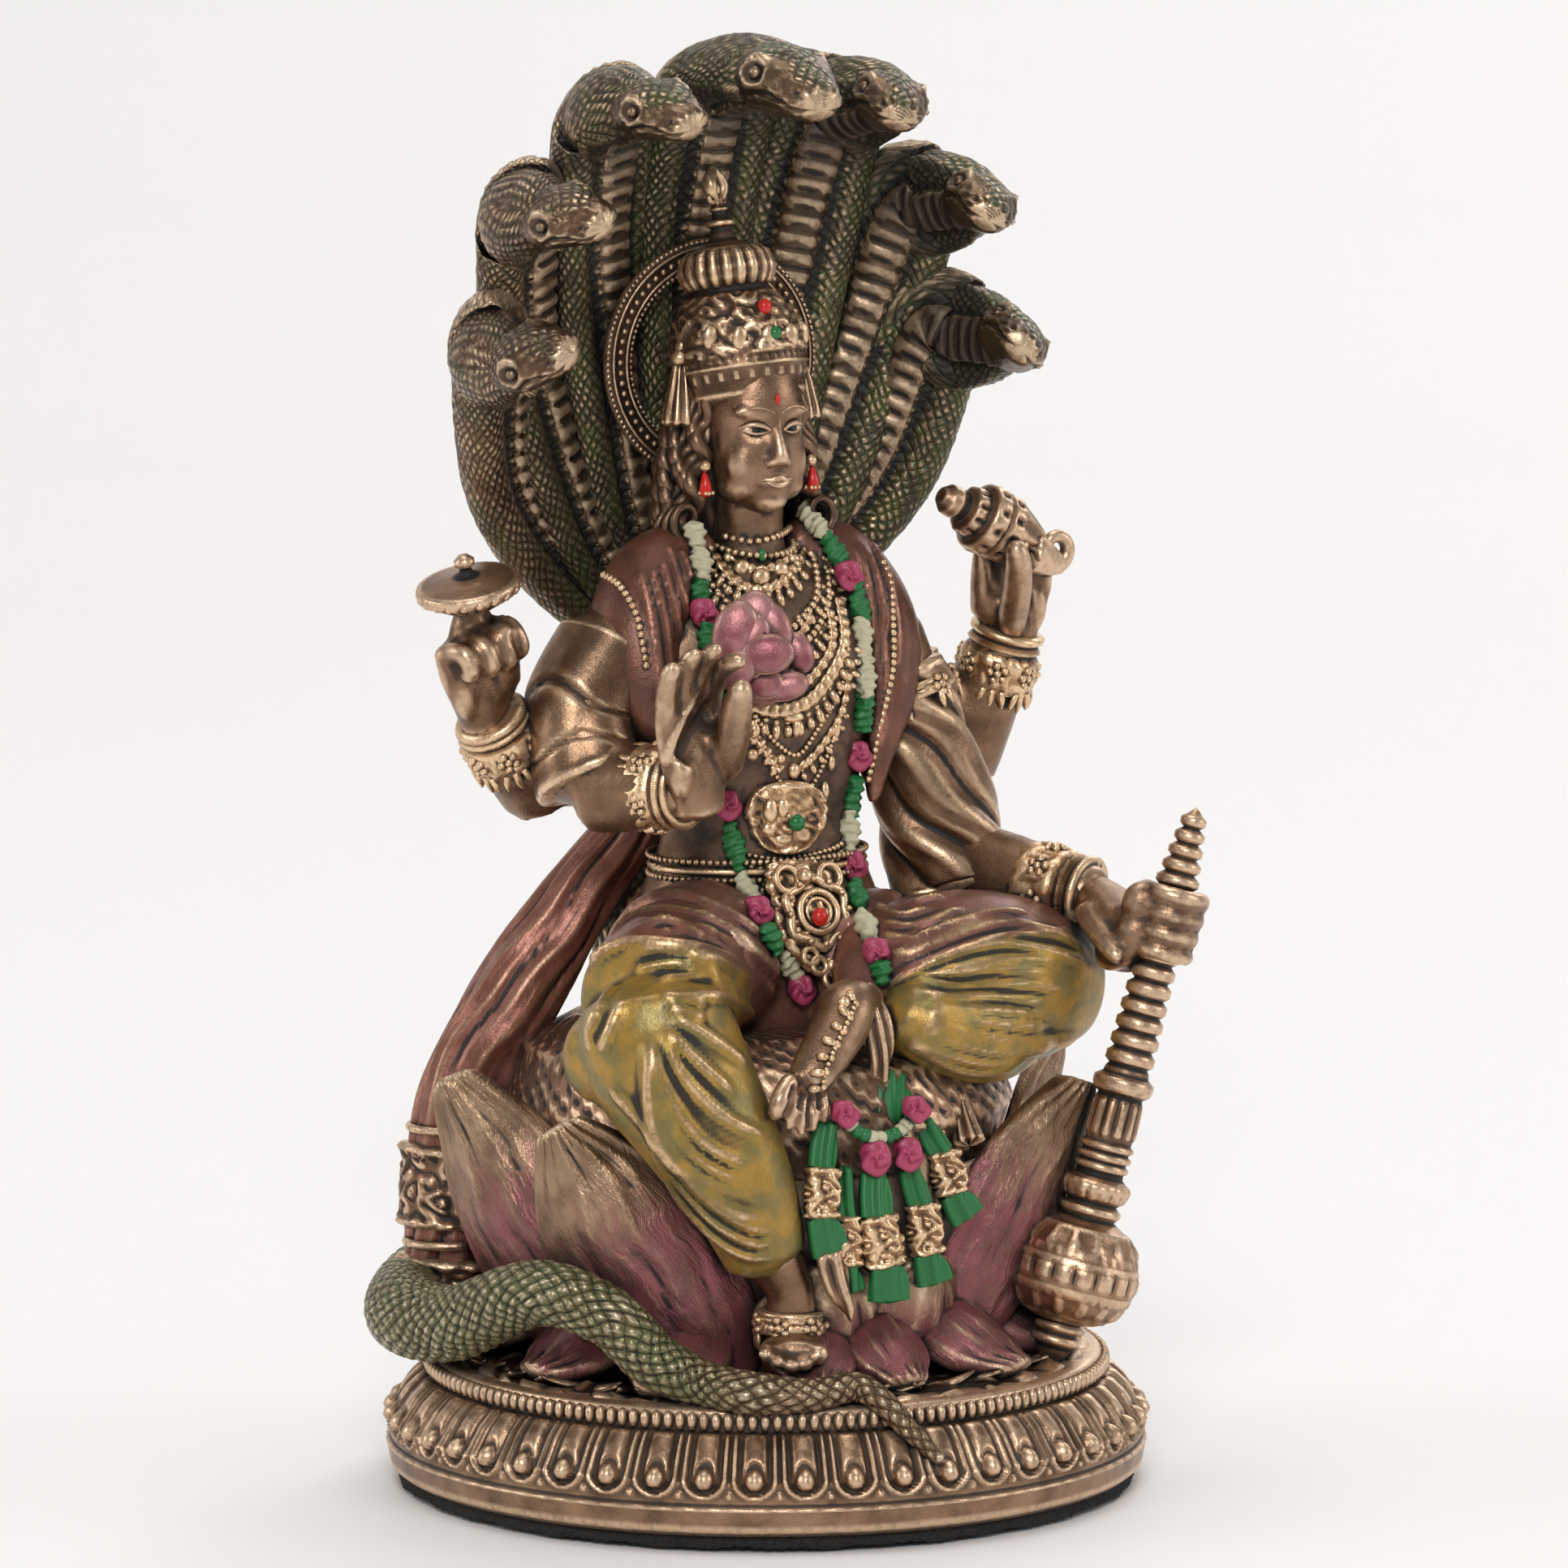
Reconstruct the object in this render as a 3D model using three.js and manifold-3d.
// A palm-high cold-cast bronze figure: a four-armed, crowned deity seated on the coils of a
// seven-headed cobra inside a lotus, on a round plinth with a band of lotus petals.
// The casting is one piece from plinth to serpent heads, and a felt pad is glued under it.
// Millimetres, +Z up. The figure looks along -Y and its right hand is on the -X side.
import * as THREE from "three";
import { mergeVertices } from "three/addons/utils/BufferGeometryUtils.js";
import Module from "manifold-3d";

const wasm = await Module();
wasm.setup();

const degrees = Math.PI / 180;
const Z_AXIS = [0, 0, 1];
const ORIGIN = [0, 0, 0];

// Plinth and felt
const FELT_RADIUS = 22.2;
const FELT_THICKNESS = 1;
const PLINTH_RADIUS = 23.2;
const PLINTH_TOP = 8.2;
const PLINTH_PETALS = 48;
const PLINTH_PETAL_RELIEF = 0.3;
const RIM_RADIUS = 20.7;

// Lotus: upright petals stand left and right of a gap at the front
const PETAL_PAIRS = 5;
const FIRST_PETAL = 53;
const PETAL_STEP = 26;
const PETAL_TIP_RADIUS = 19;
const PETAL_TIP_HEIGHT = 25;
const FALLEN_PETALS = [-77, -50, -2, 23, 50, 84];

// Serpent: a coil as the seat, a trunk behind the back, and seven heads on an arc
const COIL_RADIUS = 10.4;
const COIL_THICKNESS = 4.8;
const COIL_HEIGHT = 23.6;
const FAN_HEIGHT = 68.5;
const FAN_STEP = 30.3;
const HEAD_ARC = 16.9;
const HOOD_BACK = 9.6;
const TAIL = [
  [-14, 15.6, 11, 2.6],
  [-20.3, 8, 10.8, 2.4],
  [-21.2, 1.2, 11.2, 2.2],
  [-19.3, -6.4, 14.1, 1.8],
  [-16.9, -10.6, 13.2, 1.6],
  [-14.8, -12.5, 10.7, 1.5],
  [-12.6, -14.5, 9.4, 1.25],
  [-10.7, -17.3, 9.1, 1.15],
  [-7.6, -18.5, 8.9, 0.9],
  [-4.9, -18.9, 9.2, 0.8],
  [-3.7, -20.2, 8.3, 0.7],
  [-2.6, -21.5, 6.7, 0.55],
  [-1.4, -22.8, 5.2, 0.35],
];

// The figure's joints: each is [x, y, z], and a body station adds its half width and depth
const TORSO = [
  [0, 1.4, 26, 8.6, 6.6],
  [0, 1.2, 31, 9.4, 6.4],
  [0, 1, 35.4, 8, 5.4],
  [0, 0.9, 39.4, 6.3, 4.5],
  [-0.2, 0.9, 44, 7.1, 4.7],
  [-0.3, 1, 48.6, 8.8, 4.8],
  [-0.3, 1.6, 52.4, 8.6, 4.1],
  [-0.3, 1.9, 55, 4.4, 3.1],
];
const NECK = [-0.3, 1.8, 56];
const HEAD = [-0.3, 1.6, 62.7];
const CROWN_BASE = [-0.35, 2.2, 66];
const CROWN_TIP = [-1, 4.7, 79.2];
const RIGHT_ARM = [
  [-9, 2, 51.2],
  [-12.3, 1.2, 47],
  [-12.2, -0.8, 42.7],
  [-9.2, -6.7, 43.2],
];
const LEFT_ARM = [
  [8.6, 2, 50.6],
  [10.7, 1.2, 44.4],
  [12.8, 0.2, 36.9],
  [17.5, -9.2, 35.3],
];
const REAR_RIGHT_ARM = [
  [-8.6, 4.6, 49],
  [-12.4, 5.2, 42.4],
  [-17.2, 3.2, 47],
];
const REAR_LEFT_ARM = [
  [8.4, 4.6, 49.4],
  [16.6, 5.6, 42],
  [18.9, 3.2, 50],
];
const RIGHT_PALM = [-9, -8, 46.6];
const LEFT_FIST = [18.9, -13.4, 34];
const REAR_RIGHT_FIST = [-19.3, 2, 52.2];
const REAR_LEFT_FIST = [19, 2, 54.2];
const RIGHT_THIGH = [
  [-5.4, -1, 31.4, 4.6, 4.4],
  [-9.2, -5, 31.6, 4.9, 4.6],
  [-12.6, -8.6, 30.6, 4.9, 4.6],
];
const RIGHT_SHIN = [
  [-13.1, -9.6, 31.6, 4.4, 4.2],
  [-12.8, -10.4, 28.4, 4.9, 4.5],
  [-10.9, -11.9, 24.4, 4.1, 3.8],
  [-8.6, -12.8, 20, 3.1, 3],
  [-7.3, -13, 16, 2.3, 2.2],
];
const RIGHT_ANKLE = [-6, -13.3, 13.9];
const RIGHT_TOES = [-6.9, -16.4, 9.2];
const LEFT_LEG = [
  [2.6, -6.4, 30.6, 6.6, 4.4],
  [8.6, -7.4, 30.7, 6.1, 5.3],
  [14.2, -7.8, 30.2, 4.8, 4.8],
  [18, -7.8, 29.6, 2.4, 2.4],
];
const LEFT_ANKLE = [-1.4, -13, 30.4];
const LEFT_TOES = [-7, -14.5, 24.6];

// What the hands hold
const MACE_FOOT = [11.9, -13.3, 8.1];
const MACE_TIP = [21.1, -15, 41.2];
const MACE_BALL = [5.7, 3.8];
const DISC_CENTRE = [-19.1, 2, 55];
const DISC_RADIUS = 3;
const CONCH_TIP = [12.9, 1, 58.9];
const CONCH_CURL = [21.6, 1, 54.4];
const BLOSSOM = [-3.2, -5.2, 50.9];

// The cloth that hangs behind the figure's right side, down the outside of the lotus
const SASH = [
  [-4.6, 7.4, 40.4, 1.6, 1.4],
  [-8.2, 9, 34.6, 2, 1.8],
  [-12.4, 9.2, 28.8, 2.5, 2],
  [-15.6, 9.8, 23, 2.4, 1.8],
  [-16.2, 10.2, 17, 2.2, 1.8],
  [-16.4, 10.4, 8, 2.3, 1.9],
];
const SASH_BANDS = [20, 15.4, 11];

const vector = (p) => new THREE.Vector3(...p);
const between = (a, b, t) => a.map((v, i) => v + (b[i] - v) * t);
const shifted = (a, d) => a.map((v, i) => v + d[i]);

// A point at a radius and height, turned from the front towards the figure's left.
const around = (angle, radius, height) => [
  radius * Math.sin(angle * degrees),
  -radius * Math.cos(angle * degrees),
  height,
];

// A closed three.js geometry as a solid that can be joined.
function solid(geometry) {
  for (const name of ["normal", "uv"]) geometry.deleteAttribute(name);
  const merged = mergeVertices(geometry, 1e-4);
  return new wasm.Manifold(
    new wasm.Mesh({
      numProp: 3,
      vertProperties: merged.getAttribute("position").array,
      triVerts: new Uint32Array(merged.index.array),
    })
  );
}

// The value of a list of evenly spaced numbers at t from 0 to 1.
function sampled(values, t) {
  const place = t * (values.length - 1);
  const low = Math.min(Math.floor(place), values.length - 2);
  return THREE.MathUtils.lerp(values[low], values[low + 1], place - low);
}

// A closed limb along a smooth path, made by bending a sphere. Each station is [x, y, z, half
// width, half depth]; the depth looks along facing, cup bends the two edges away from it, and
// folds raises that many ridges along the limb.
function limb(stations, options = {}) {
  const { sides = 8, rings = 5, facing = [0, -1, 0], cup = 0, cap = 0.5 } = options;
  const { folds = 0, relief = 0.12 } = options;
  const curve = new THREE.CatmullRomCurve3(stations.map((s) => vector(s.slice(0, 3))));
  const widths = stations.map((s) => s[3]);
  const depths = stations.map((s) => s[4] ?? s[3]);
  const geometry = new THREE.SphereGeometry(1, sides, rings + 1);
  const position = geometry.getAttribute("position");
  const corner = new THREE.Vector3();
  for (let i = 0; i < position.count; i++) {
    corner.fromBufferAttribute(position, i);
    const latitude = Math.acos(THREE.MathUtils.clamp(corner.y, -1, 1)) / Math.PI;
    const ring = Math.round(latitude * (rings + 1));
    const t = THREE.MathUtils.clamp((ring - 1) / (rings - 1), 0, 1);
    const place = curve.getPoint(t);
    const along = curve.getTangent(t);
    const depth = sampled(depths, t);
    if (ring === 0 || ring === rings + 1) {
      place.addScaledVector(along, (ring ? 1 : -1) * cap * depth);
    } else {
      const out = vector(facing).addScaledVector(along, -vector(facing).dot(along)).normalize();
      const side = new THREE.Vector3().crossVectors(out, along);
      const angle = Math.atan2(corner.x, corner.z);
      const ridge = 1 + relief * Math.cos(folds * angle) * (folds ? 1 : 0);
      const width = sampled(widths, t);
      place.addScaledVector(side, width * ridge * Math.sin(angle));
      place.addScaledVector(out, depth * ridge * Math.cos(angle));
      place.addScaledVector(out, -cup * width * Math.sin(angle) ** 2);
    }
    position.setXYZ(i, place.x, place.y, place.z);
  }
  return solid(geometry);
}

// A limb of round section through joints, with one radius for each.
const tube = (joints, radii, options) =>
  limb(joints.map((p, i) => [...p.slice(0, 3), radii[i], radii[i]]), options);

// An egg with three half sizes, standing upright.
function egg(centre, halves, sides = 8, rings = 5) {
  const geometry = new THREE.SphereGeometry(1, sides, rings).rotateX(90 * degrees);
  return solid(geometry.scale(...halves).translate(...centre));
}

// A turned form on the line from foot to tip; the profile is [radius, height] pairs.
function turned(profile, foot, tip, segments = 10, flute = () => 0) {
  const outline = profile.map(([r, h]) => new THREE.Vector2(r, h));
  const geometry = new THREE.LatheGeometry(outline, segments);
  const position = geometry.getAttribute("position");
  for (let i = 0; i < position.count; i++) {
    const [x, y, z] = [position.getX(i), position.getY(i), position.getZ(i)];
    const radius = Math.hypot(x, z);
    if (radius < 1e-6) continue;
    const grown = 1 + flute(Math.atan2(x, z), y) / radius;
    position.setXYZ(i, x * grown, y, z * grown);
  }
  const up = vector(tip).sub(vector(foot)).normalize();
  const turn = new THREE.Quaternion().setFromUnitVectors(new THREE.Vector3(0, 1, 0), up);
  return solid(geometry.applyQuaternion(turn).translate(...foot));
}

// The plinth: a plain foot band, a band of petals leaning inwards and a rim.
function plinth() {
  const profile = [
    [0, FELT_THICKNESS],
    [PLINTH_RADIUS - 0.7, FELT_THICKNESS],
    [PLINTH_RADIUS, 3.9],
    [RIM_RADIUS + 0.2, 6.6],
    [RIM_RADIUS, PLINTH_TOP],
    [0, PLINTH_TOP],
  ];
  const petals = (angle, height) =>
    height > 3 && height < 6.8 ? PLINTH_PETAL_RELIEF * Math.cos(PLINTH_PETALS * angle) : 0;
  return turned(profile, ORIGIN, Z_AXIS, 2 * PLINTH_PETALS, petals);
}

// The lotus: one bowl whose wall swells into petals from FIRST_PETAL round to the back, lower
// and plain across the front, and petals fallen open on the plinth round its foot.
function lotus() {
  const wall = [
    [11.2, PLINTH_TOP - 1],
    [13.2, 14.6],
    [16.6, 20.6],
    [PETAL_TIP_RADIUS, PETAL_TIP_HEIGHT],
    [PETAL_TIP_RADIUS - 1.3, PETAL_TIP_HEIGHT - 0.3],
    [13.4, 21],
  ];
  const edge = FIRST_PETAL - PETAL_STEP / 2;
  const quarters = 4 * PETAL_PAIRS;
  const side = Array.from({ length: quarters + 1 }, (_, i) => edge + (PETAL_STEP * i) / 4);
  const turns = [0, edge / 2, ...side, 180];
  const columns = [...turns, ...turns.slice(1, -1).reverse().map((turn) => -turn)];
  const geometry = new THREE.SphereGeometry(1, columns.length, wall.length + 1);
  const position = geometry.getAttribute("position");
  const stride = columns.length + 1;
  for (let i = 0; i < position.count; i++) {
    const row = Math.floor(i / stride);
    const turn = columns[(i % stride) % columns.length];
    if (row === 0 || row > wall.length) {
      position.setXYZ(i, 0, 0, row ? wall[0][1] : wall.at(-1)[1]);
      continue;
    }
    const [radius, height] = wall[wall.length - row];
    const petals = Math.abs(turn) > edge - 1;
    const phase = (Math.abs(turn) - FIRST_PETAL) / PETAL_STEP;
    const swell = petals ? Math.cos(2 * Math.PI * phase) : -1;
    const rise = THREE.MathUtils.clamp((height - 18) / 7, 0, 1);
    const drop = rise * (petals ? 1.7 * (1 - swell) : 4);
    const inward = petals ? 0 : 1.6 * rise;
    position.setXYZ(i, ...around(turn, radius + 0.5 * swell - inward, height - drop));
  }
  const parts = [solid(geometry)];
  for (const angle of FALLEN_PETALS) {
    const stations = [
      [...around(angle, 12, PLINTH_TOP + 2.6), 2.6, 1],
      [...around(angle, 16.4, PLINTH_TOP + 0.8), 2.4, 1],
    ];
    parts.push(limb(stations, { sides: 5, rings: 2, facing: Z_AXIS }));
  }
  return parts;
}

// One cobra of the fan: from the trunk up its hood, over the bend, and forward to its snout.
function cobra(index) {
  const angle = index * FAN_STEP * degrees;
  const [out, up] = [Math.sin(angle), Math.cos(angle)];
  const fan = (arc, y) => [arc * out, y, FAN_HEIGHT + arc * up];
  const girth = index ? 1 : 1.2;
  const stations = [
    [2.4 * out, HOOD_BACK, 50, 2, 1.4],
    [8.8 * out, HOOD_BACK + 0.3, 55 + 5.4 * up, 3.2, 1.5],
    [13.2 * out, HOOD_BACK - 0.4, 61 + 14 * up, 4, 1.6],
    [...fan(HEAD_ARC - 1.1, 6), 4.2, 2],
    [...fan(HEAD_ARC + 0.2, 2.4), 2.4, 1.9],
    [...fan(HEAD_ARC, -0.4), 2.1 * girth, 1.8 * girth],
    [...fan(HEAD_ARC, -2.8), 2.4 * girth, 1.9 * girth],
    [...fan(HEAD_ARC - 0.6, index ? -5.7 : -7.6), 1.4, 1.2],
  ];
  const facing = [-0.5 * out, -1, -0.6 * up];
  return limb(stations, { sides: 6, rings: 9, facing, cup: -0.12 });
}

// The serpent: seat coil, trunk, fan of seven, and the tail lying round the front of the plinth.
function serpent() {
  const [outer, half] = [COIL_RADIUS + COIL_THICKNESS, COIL_THICKNESS];
  const coil = [
    [0, COIL_HEIGHT - half],
    [COIL_RADIUS + 1, COIL_HEIGHT - half],
    [outer, COIL_HEIGHT],
    [COIL_RADIUS + 3, COIL_HEIGHT + 0.8 * half],
    [0, COIL_HEIGHT + half],
  ];
  const trunk = [
    [0, 10, 20, 6.4, 4],
    [0, 10.6, 32, 5.6, 3.4],
    [0, 10.2, 43, 4.6, 2.8],
    [0, 10, 52, 5, 2],
    [0, 10.4, 58, 5.4, 1.4],
  ];
  const parts = [
    turned(coil, [0, 0.8, 0], [0, 0.8, 1], 10),
    limb(trunk, { sides: 6, rings: 4 }),
    tube(TAIL, TAIL.map((s) => s[3]), { sides: 6, rings: 27, facing: Z_AXIS }),
  ];
  for (let index = -3; index <= 3; index++) parts.push(cobra(index));
  return parts;
}

// Trunk of the body, neck, head with its nose, ears' ornaments and hair behind the jaw.
function body() {
  const parts = [
    limb(TORSO, { sides: 9, rings: 8 }),
    tube([NECK, between(NECK, HEAD, 0.5)], [2.4, 2.1], { rings: 2 }),
    limb(
      [
        [-0.3, 1.3, 58.6, 1.3, 1.6],
        [-0.3, 1.3, 60.6, 2.7, 2.9],
        [-0.3, 1.6, 63.4, 3.1, 3.5],
        [-0.3, 2, 66.6, 2.9, 3.3],
      ],
      { sides: 8, rings: 4 }
    ),
    limb(
      [
        [-0.3, -1.9, 63.6, 0.4, 0.4],
        [-0.3, -2.4, 61.9, 0.6, 0.5],
        [-0.3, -1.8, 61.5, 0.5, 0.4],
      ],
      { sides: 5, rings: 3 }
    ),
  ];
  for (const side of [-1, 1]) {
    const lock = [
      [side * 3.3 - 0.3, 2.2, 66],
      [side * 3.6 - 0.3, 2.2, 62],
      [side * 3.9 - 0.3, 2.4, 58.6],
      [side * 4.6 - 0.3, 2.4, 56.4],
    ];
    parts.push(tube(lock, [0.8, 1, 1.2, 1.5], { sides: 5, rings: 4 }));
  }
  return parts;
}

// The crown on its leaning axis, its leaf-shaped finial, and the ring behind the head.
function crown() {
  const dome = [
    [0, -0.6],
    [3.7, -0.6],
    [4.1, 0.8],
    [3.8, 3.4],
    [2.2, 5.9],
    [2.7, 7],
    [2.4, 8.2],
    [0.7, 9.2],
    [0.5, 11],
    [0, 11.2],
  ];
  const ribs = (angle, height) => (height > 6.4 && height < 8.4 ? 0.2 * Math.cos(5 * angle) : 0);
  const finial = [
    [...between(CROWN_BASE, CROWN_TIP, 0.78), 0.5, 0.5],
    [...between(CROWN_BASE, CROWN_TIP, 0.9), 1.3, 0.7],
    [...CROWN_TIP, 0.4, 0.3],
  ];
  const ring = new THREE.TorusGeometry(6.4, 0.8, 4, 14).rotateX(90 * degrees);
  ring.translate(-0.3, 6.3, 67.4);
  const brace = [
    [-0.3, 3.4, 68, 2.6, 2],
    [-0.3, 7.5, 66, 3, 3],
    [-0.3, 10, 60, 3, 2.4],
  ];
  return [
    turned(dome, CROWN_BASE, CROWN_TIP, 10, ribs),
    limb(finial, { sides: 5, rings: 3 }),
    solid(ring),
    limb(brace, { sides: 6, rings: 3 }),
  ];
}

// A bracelet of flared leaves round a forearm, starting at the wrist.
function cuff(arm, radius) {
  const [elbow, wrist] = arm.slice(-2);
  const profile = [
    [0, 0.2],
    [radius + 0.4, 0.4],
    [radius + 0.2, 1.8],
    [radius + 0.8, 3.6],
    [0, 4.4],
  ];
  return turned(profile, wrist, elbow, 6);
}

function arms() {
  const along = (arm) => arm.slice(-2);
  const parts = [
    tube(RIGHT_ARM.slice(0, 3), [3.2, 3.2, 2.7], { sides: 7, rings: 4 }),
    tube(along(RIGHT_ARM), [2.6, 1.9], { rings: 2, sides: 7 }),
    tube(LEFT_ARM.slice(0, 3), [3, 2.9, 3.2], { sides: 8, rings: 4, folds: 4, relief: 0.06 }),
    tube(along(LEFT_ARM), [2.8, 2], { rings: 2, sides: 7 }),
    tube(REAR_RIGHT_ARM.slice(0, 2), [2.8, 2.5], { rings: 2, sides: 7 }),
    tube(along(REAR_RIGHT_ARM), [2.6, 1.9], { rings: 2, sides: 7 }),
    tube(REAR_LEFT_ARM.slice(0, 2), [2.8, 2.5], { rings: 2, sides: 7 }),
    tube(along(REAR_LEFT_ARM), [2.6, 1.9], { rings: 2, sides: 7 }),
    cuff(RIGHT_ARM, 2),
    cuff(LEFT_ARM, 2.2),
    cuff(REAR_RIGHT_ARM, 2.1),
    cuff(REAR_LEFT_ARM, 2.1),
  ];
  return parts;
}

// The raised open hand, and three hands closed round what they hold.
function hands() {
  const [x, y, z] = RIGHT_PALM;
  const palm = [
    [...RIGHT_ARM[3], 1.7, 1.4],
    [x + 0.2, y, z - 1, 2.3, 1.3],
    [x, y, z + 1.4, 2.5, 1.1],
  ];
  const fingers = [
    [x - 0.6, y, z + 1, 1.8, 0.8],
    [x - 1.1, y, z + 3.6, 1.7, 0.7],
    [x - 1.5, y + 0.2, z + 5.8, 1.1, 0.5],
  ];
  const thumb = [
    [x + 1.6, y - 0.2, z - 0.6],
    [x + 2.2, y - 0.7, z + 2],
    [x + 1.7, y - 0.9, z + 4],
  ];
  const fist = (arm, centre, radius) =>
    tube([arm.at(-1), centre], [1.8, radius], { sides: 8, rings: 3, cap: 0.8 });
  return [
    limb(palm, { sides: 8, rings: 3 }),
    limb(fingers, { sides: 8, rings: 3, folds: 4, relief: 0.1 }),
    tube(thumb, [0.9, 0.8, 0.5], { sides: 6, rings: 3 }),
    fist(LEFT_ARM, LEFT_FIST, 2.2),
    fist(REAR_RIGHT_ARM, REAR_RIGHT_FIST, 2.3),
    fist(REAR_LEFT_ARM, REAR_LEFT_FIST, 2),
  ];
}

// The mace: a ringed shaft above a ball with a belt, standing on a small finial.
function mace() {
  const length = vector(MACE_TIP).distanceTo(vector(MACE_FOOT));
  const [middle, ball] = MACE_BALL;
  const profile = [
    [0, -0.4],
    [1.2, -0.4],
    [0.9, 1.4],
    [3, middle - 2.6],
    [ball, middle - 0.6],
    [ball, middle + 0.6],
    [3, middle + 2.6],
    [1.4, middle + 3.7],
    [2, middle + 5],
    [1.5, 17.6],
    [1.7, 18.4],
    [1.25, 19.4],
    [1.1, length - 2],
    [0.6, length - 0.2],
    [0, length],
  ];
  return turned(profile, MACE_FOOT, MACE_TIP, 8);
}

// The disc over one raised hand, the conch over the other, and the blossom at the open hand.
function attributes() {
  const disc = [
    [0, -1.2],
    [1.2, -1.2],
    [DISC_RADIUS, 0],
    [DISC_RADIUS, 0.4],
    [0.9, 0.7],
    [0.8, 1.6],
    [0, 2],
  ];
  const shell = [
    [0, 0],
    [1, 0.6],
    [2.2, 2],
    [2.5, 3.6],
    [2.1, 5.4],
    [1.3, 7.4],
    [0, 8],
  ];
  const curl = [between(CONCH_TIP, CONCH_CURL, 0.6), CONCH_CURL, shifted(CONCH_CURL, [0.4, 0, 1])];
  const parts = [
    turned(disc, DISC_CENTRE, shifted(DISC_CENTRE, [-0.25, -0.15, 0.9]), 10),
    turned(shell, CONCH_TIP, CONCH_CURL, 8),
    tube(curl, [1.4, 1, 0.8], { sides: 6, rings: 3 }),
    egg(BLOSSOM, [1.8, 1.7, 3], 6, 5),
  ];
  for (let i = 0; i < 5; i++) {
    const petal = around(72 * i, 1.2, -0.4);
    parts.push(egg(shifted(BLOSSOM, petal), [1.3, 1.2, 2.3], 5, 3));
  }
  return parts;
}

// Both legs in their cloth, the raised hems, the bare feet, and the cloth's folds.
function legs() {
  return [
    limb(RIGHT_THIGH, { sides: 8, rings: 3 }),
    limb(RIGHT_SHIN, { sides: 8, rings: 5 }),
    tube([RIGHT_SHIN.at(-1), RIGHT_ANKLE, shifted(RIGHT_ANKLE, [-0.1, 0, -3.2])], [1.5, 1.5, 1.6], {
      sides: 6,
      rings: 3,
    }),
    limb(
      [
        [...shifted(RIGHT_ANKLE, [0, 0.6, -3.4]), 1.5, 1.5],
        [...between(RIGHT_ANKLE, RIGHT_TOES, 0.7), 1.7, 1.3],
        [...RIGHT_TOES, 1.7, 0.8],
      ],
      { sides: 8, rings: 3, facing: Z_AXIS }
    ),
    limb(LEFT_LEG, { sides: 20, rings: 4, facing: Z_AXIS, folds: 10, relief: 0.05 }),
    limb(
      [
        [0.8, -12.4, 30, 1.5, 1.5],
        [...LEFT_ANKLE, 1.6, 1.6],
        [...between(LEFT_ANKLE, LEFT_TOES, 0.5), 1.8, 1.5],
        [...LEFT_TOES, 1.7, 0.9],
      ],
      { sides: 8, rings: 5 }
    ),
  ];
}

// The shawl over both shoulders, and its long end behind the figure with three bands on it.
function shawl() {
  const fronts = [
    [
      [-4.8, 1.4, 56, 1.6, 1.2],
      [-8.4, -0.4, 53.4, 2.4, 1.4],
      [-9.4, -1.8, 49, 2.2, 1.2],
      [-8.6, -2, 44.4, 1.2, 0.9],
    ],
    [
      [4.2, 1.4, 56, 1.6, 1.2],
      [8, -0.2, 53.2, 2.2, 1.4],
      [8.6, -1.9, 48, 1.9, 1.2],
      [7, -2.2, 42.4, 1.1, 0.9],
    ],
  ];
  const parts = fronts.map((front) => {
    const facing = [Math.sign(front[0][0]) * 0.6, -0.8, 0.1];
    return limb(front, { sides: 6, rings: 5, facing });
  });
  parts.push(
    limb(SASH, { sides: 6, rings: 5, facing: [-0.5, -0.8, 0.2] }),
    ...SASH_BANDS.map((height) => egg([-16.2, 10.2, height], [2.6, 2.4, 1], 6, 4))
  );
  return parts;
}

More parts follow.
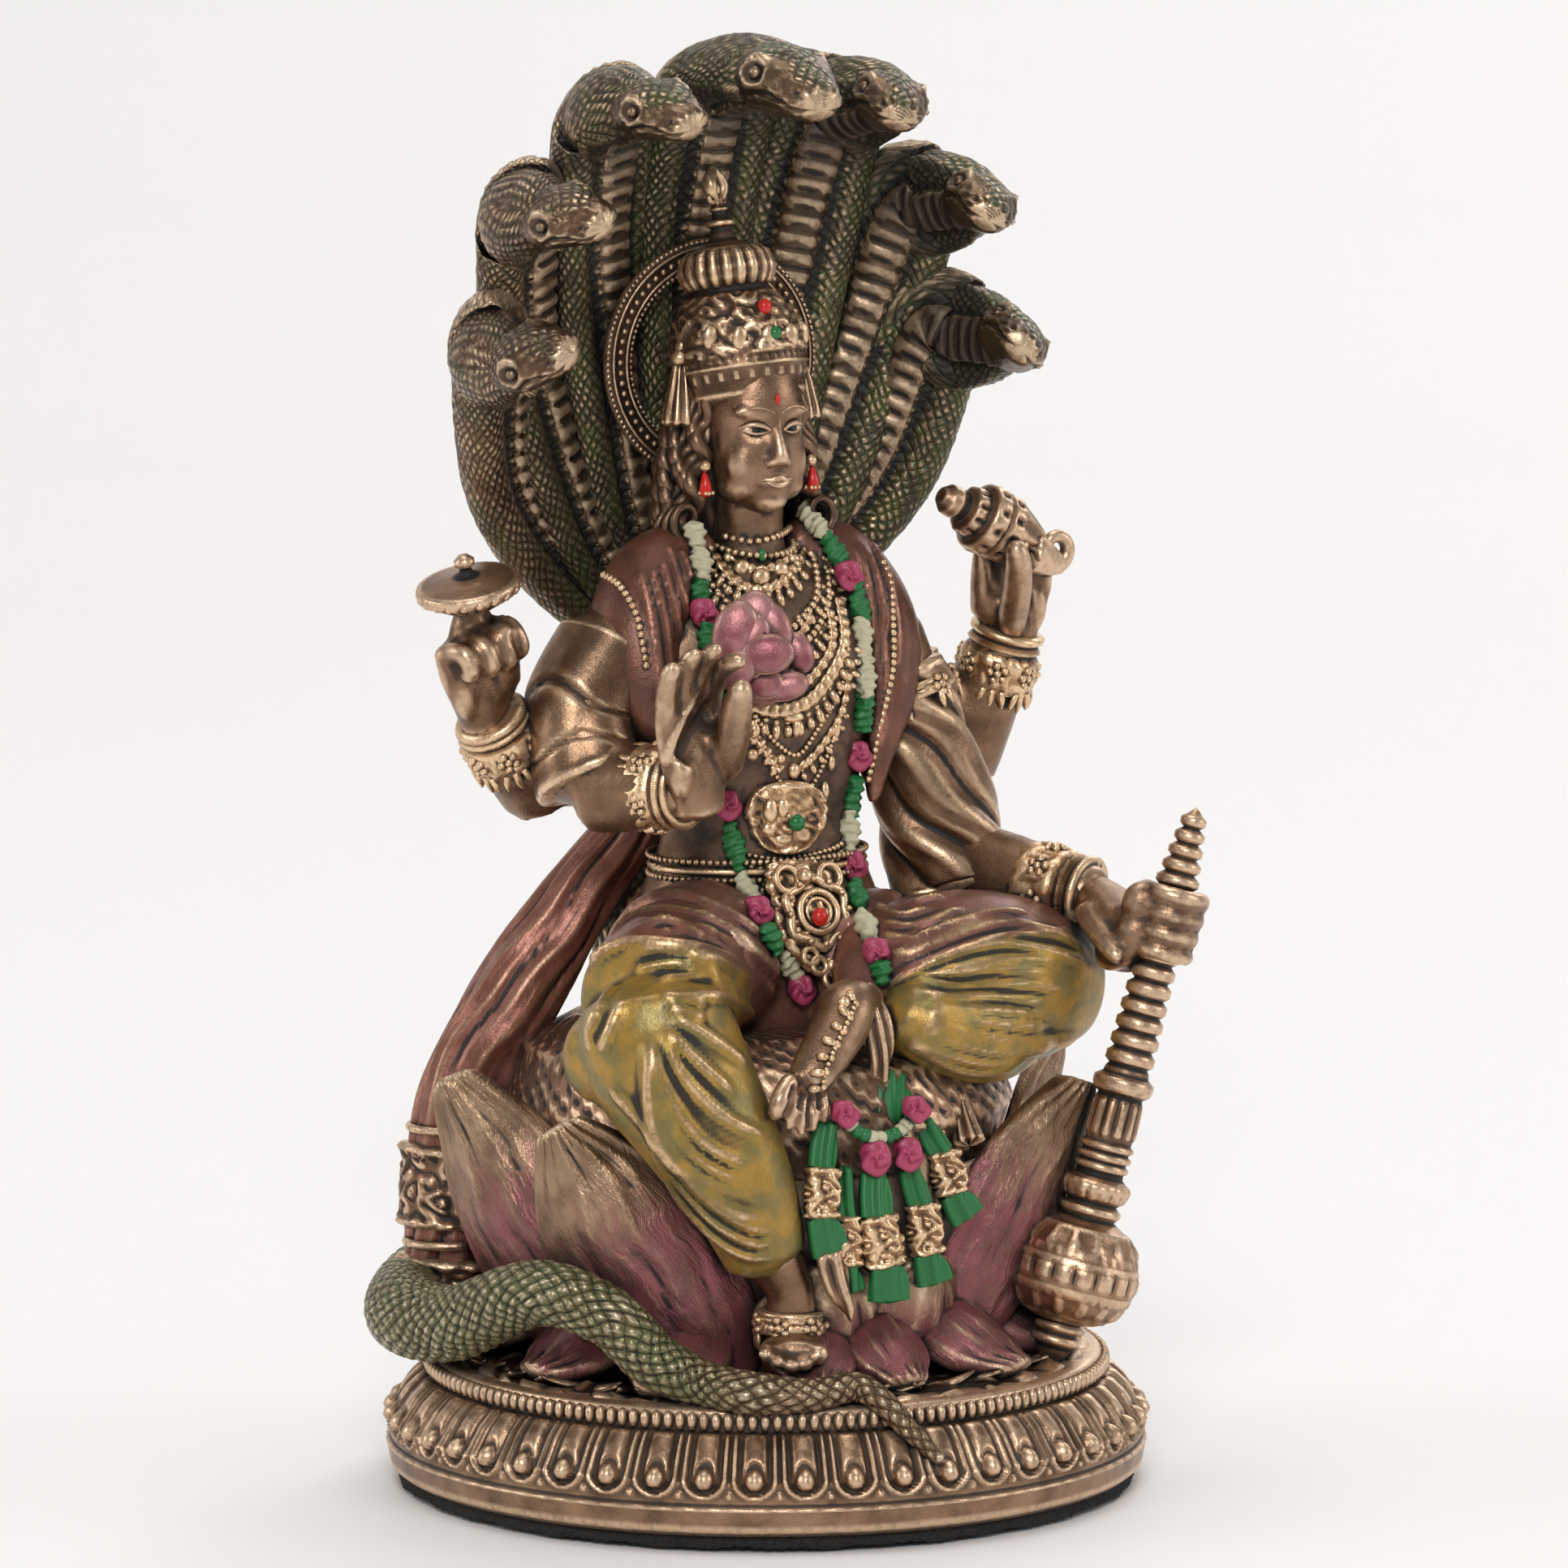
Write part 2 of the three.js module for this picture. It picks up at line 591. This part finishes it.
// The long garland, the necklaces, the clasp, and the cords that hang between the legs.
function ornaments() {
  const garland = [
    [
      [-4.6, 0.6, 58],
      [-5.8, -1.7, 53.8],
      [-5.4, -3, 46],
      [-4.7, -3.4, 40],
      [-3.9, -6, 34.6],
      [-2.4, -7.8, 31.4],
    ],
    [
      [3, 0.6, 57.6],
      [4.1, -2.8, 53.2],
      [4.3, -4.1, 46],
      [3.2, -4.6, 39],
      [3, -6.4, 34.8],
      [3.6, -8, 31.6],
    ],
  ];
  const strip = (x, y, top, foot, width) =>
    limb(
      [
        [x, y + 1.6, top, width * 0.8, 0.8],
        [x, y, (top + foot) / 2, width, 1],
        [x - 0.3, y - 0.8, foot, width, 0.8],
      ],
      { sides: 6, rings: 3 }
    );
  const bib = [
    [-0.3, -1, 55, 2.6, 1],
    [-0.3, -3.2, 51, 3.8, 1.2],
    [-0.3, -4, 46, 2.8, 1.1],
    [0, -3.6, 41, 1.5, 0.9],
  ];
  return [
    ...garland.map((joints) => tube(joints, Array(6).fill(0.8), { sides: 4, rings: 7 })),
    limb(bib, { sides: 8, rings: 5 }),
    limb(
      [
        [0, -3.4, 38.4, 2.4, 1.4],
        [0, -5, 35, 2.8, 1.5],
        [0, -6.8, 31.8, 1.8, 1.4],
      ],
      { sides: 8, rings: 3 }
    ),
    strip(-3.6, -15, 25.4, 15.6, 1),
    strip(-1.4, -15.6, 26.4, 13.4, 1.5),
    strip(1.2, -15, 26, 14, 1.2),
    strip(3.6, -14.4, 25, 18, 1.2),
  ];
}

// The joined parts as one body, without the hollow that the lotus and the seat shut in.
function joined(parts) {
  const bodies = wasm.Manifold.union(parts).decompose();
  return bodies.reduce((best, part) => (part.volume() > best.volume() ? part : best));
}

function meshOf(name, made, look) {
  const { numProp, vertProperties, triVerts } = made.getMesh();
  const corners = new Float32Array((vertProperties.length / numProp) * 3);
  for (let i = 0; i < corners.length / 3; i++) {
    corners.set(vertProperties.subarray(i * numProp, i * numProp + 3), 3 * i);
  }
  const geometry = new THREE.BufferGeometry();
  geometry.setAttribute("position", new THREE.BufferAttribute(corners, 3));
  geometry.setIndex(new THREE.BufferAttribute(triVerts, 1));
  geometry.computeVertexNormals();
  const mesh = new THREE.Mesh(geometry, new THREE.MeshStandardMaterial(look));
  mesh.name = name;
  return mesh;
}

function felt() {
  const pad = new THREE.CylinderGeometry(FELT_RADIUS, FELT_RADIUS, FELT_THICKNESS, 40);
  return solid(pad.rotateX(90 * degrees).translate(0, 0, FELT_THICKNESS / 2));
}

const casting = joined([
  plinth(),
  ...lotus(),
  ...serpent(),
  ...body(),
  ...crown(),
  ...arms(),
  ...hands(),
  mace(),
  ...attributes(),
  ...legs(),
  ...shawl(),
  ...ornaments(),
]);

const figure = new THREE.Group();
figure.add(
  meshOf("bronze_casting", casting, { color: 0x6b5443, roughness: 0.42, metalness: 0.75 }),
  meshOf("felt_pad", felt(), { color: 0x1c1b1a, roughness: 1, metalness: 0 })
);

export default figure;
